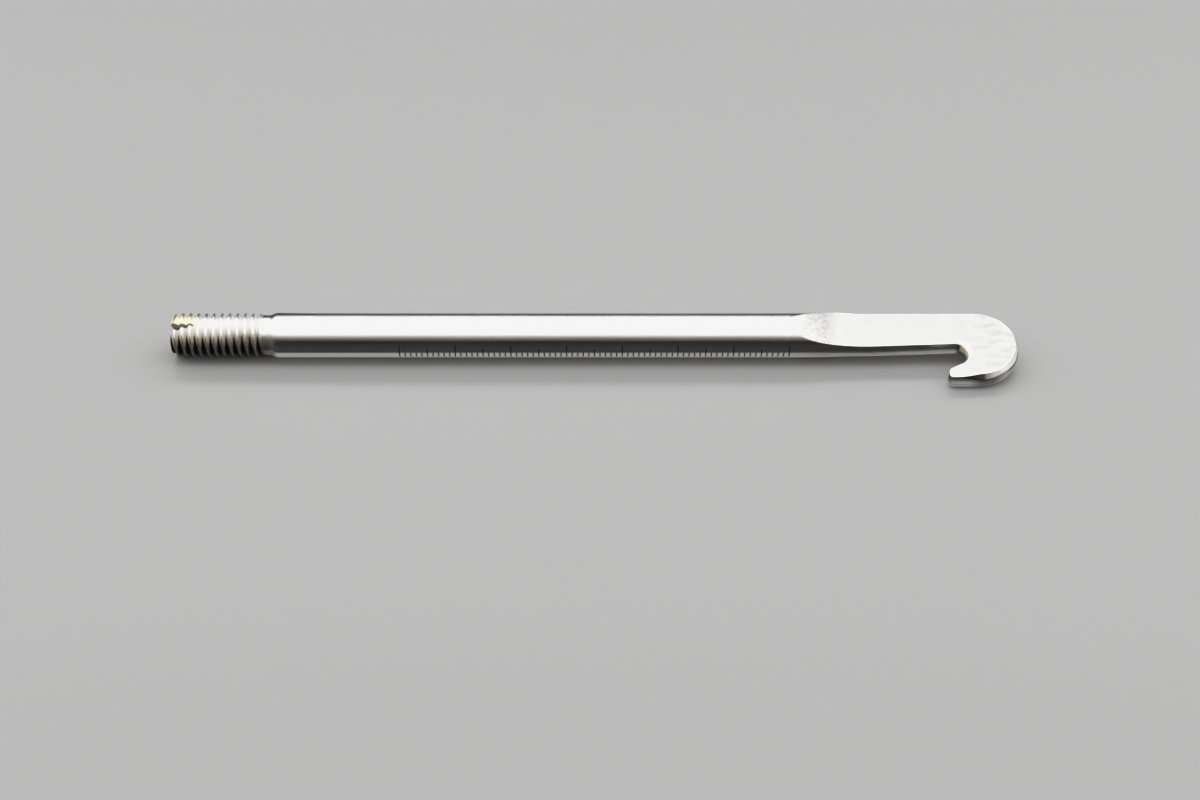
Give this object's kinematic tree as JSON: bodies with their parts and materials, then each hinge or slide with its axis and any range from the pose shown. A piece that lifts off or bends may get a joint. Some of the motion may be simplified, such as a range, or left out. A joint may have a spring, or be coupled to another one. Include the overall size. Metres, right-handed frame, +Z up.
{
  "type": "extraction hook",
  "caption": "One-piece steel hook rod: a screw-threaded, notched end, a plain round shaft, and a flat milled blade that turns back as an open hook.",
  "frame": {"origin": "under the middle of the part's box, on the surface that the part lies on", "axes": "+X along the rod from the threaded end to the hook, +Z up, and the hook opens towards -Y and a little down"},
  "size_m": [0.152, 0.0146, 0.008],
  "materials": {
    "polished_steel": "satin to bright polish, finely brushed along the rod"
  },
  "bodies": {
    "root": {"hook_rod": "polished_steel"}
  },
  "joints": []
}
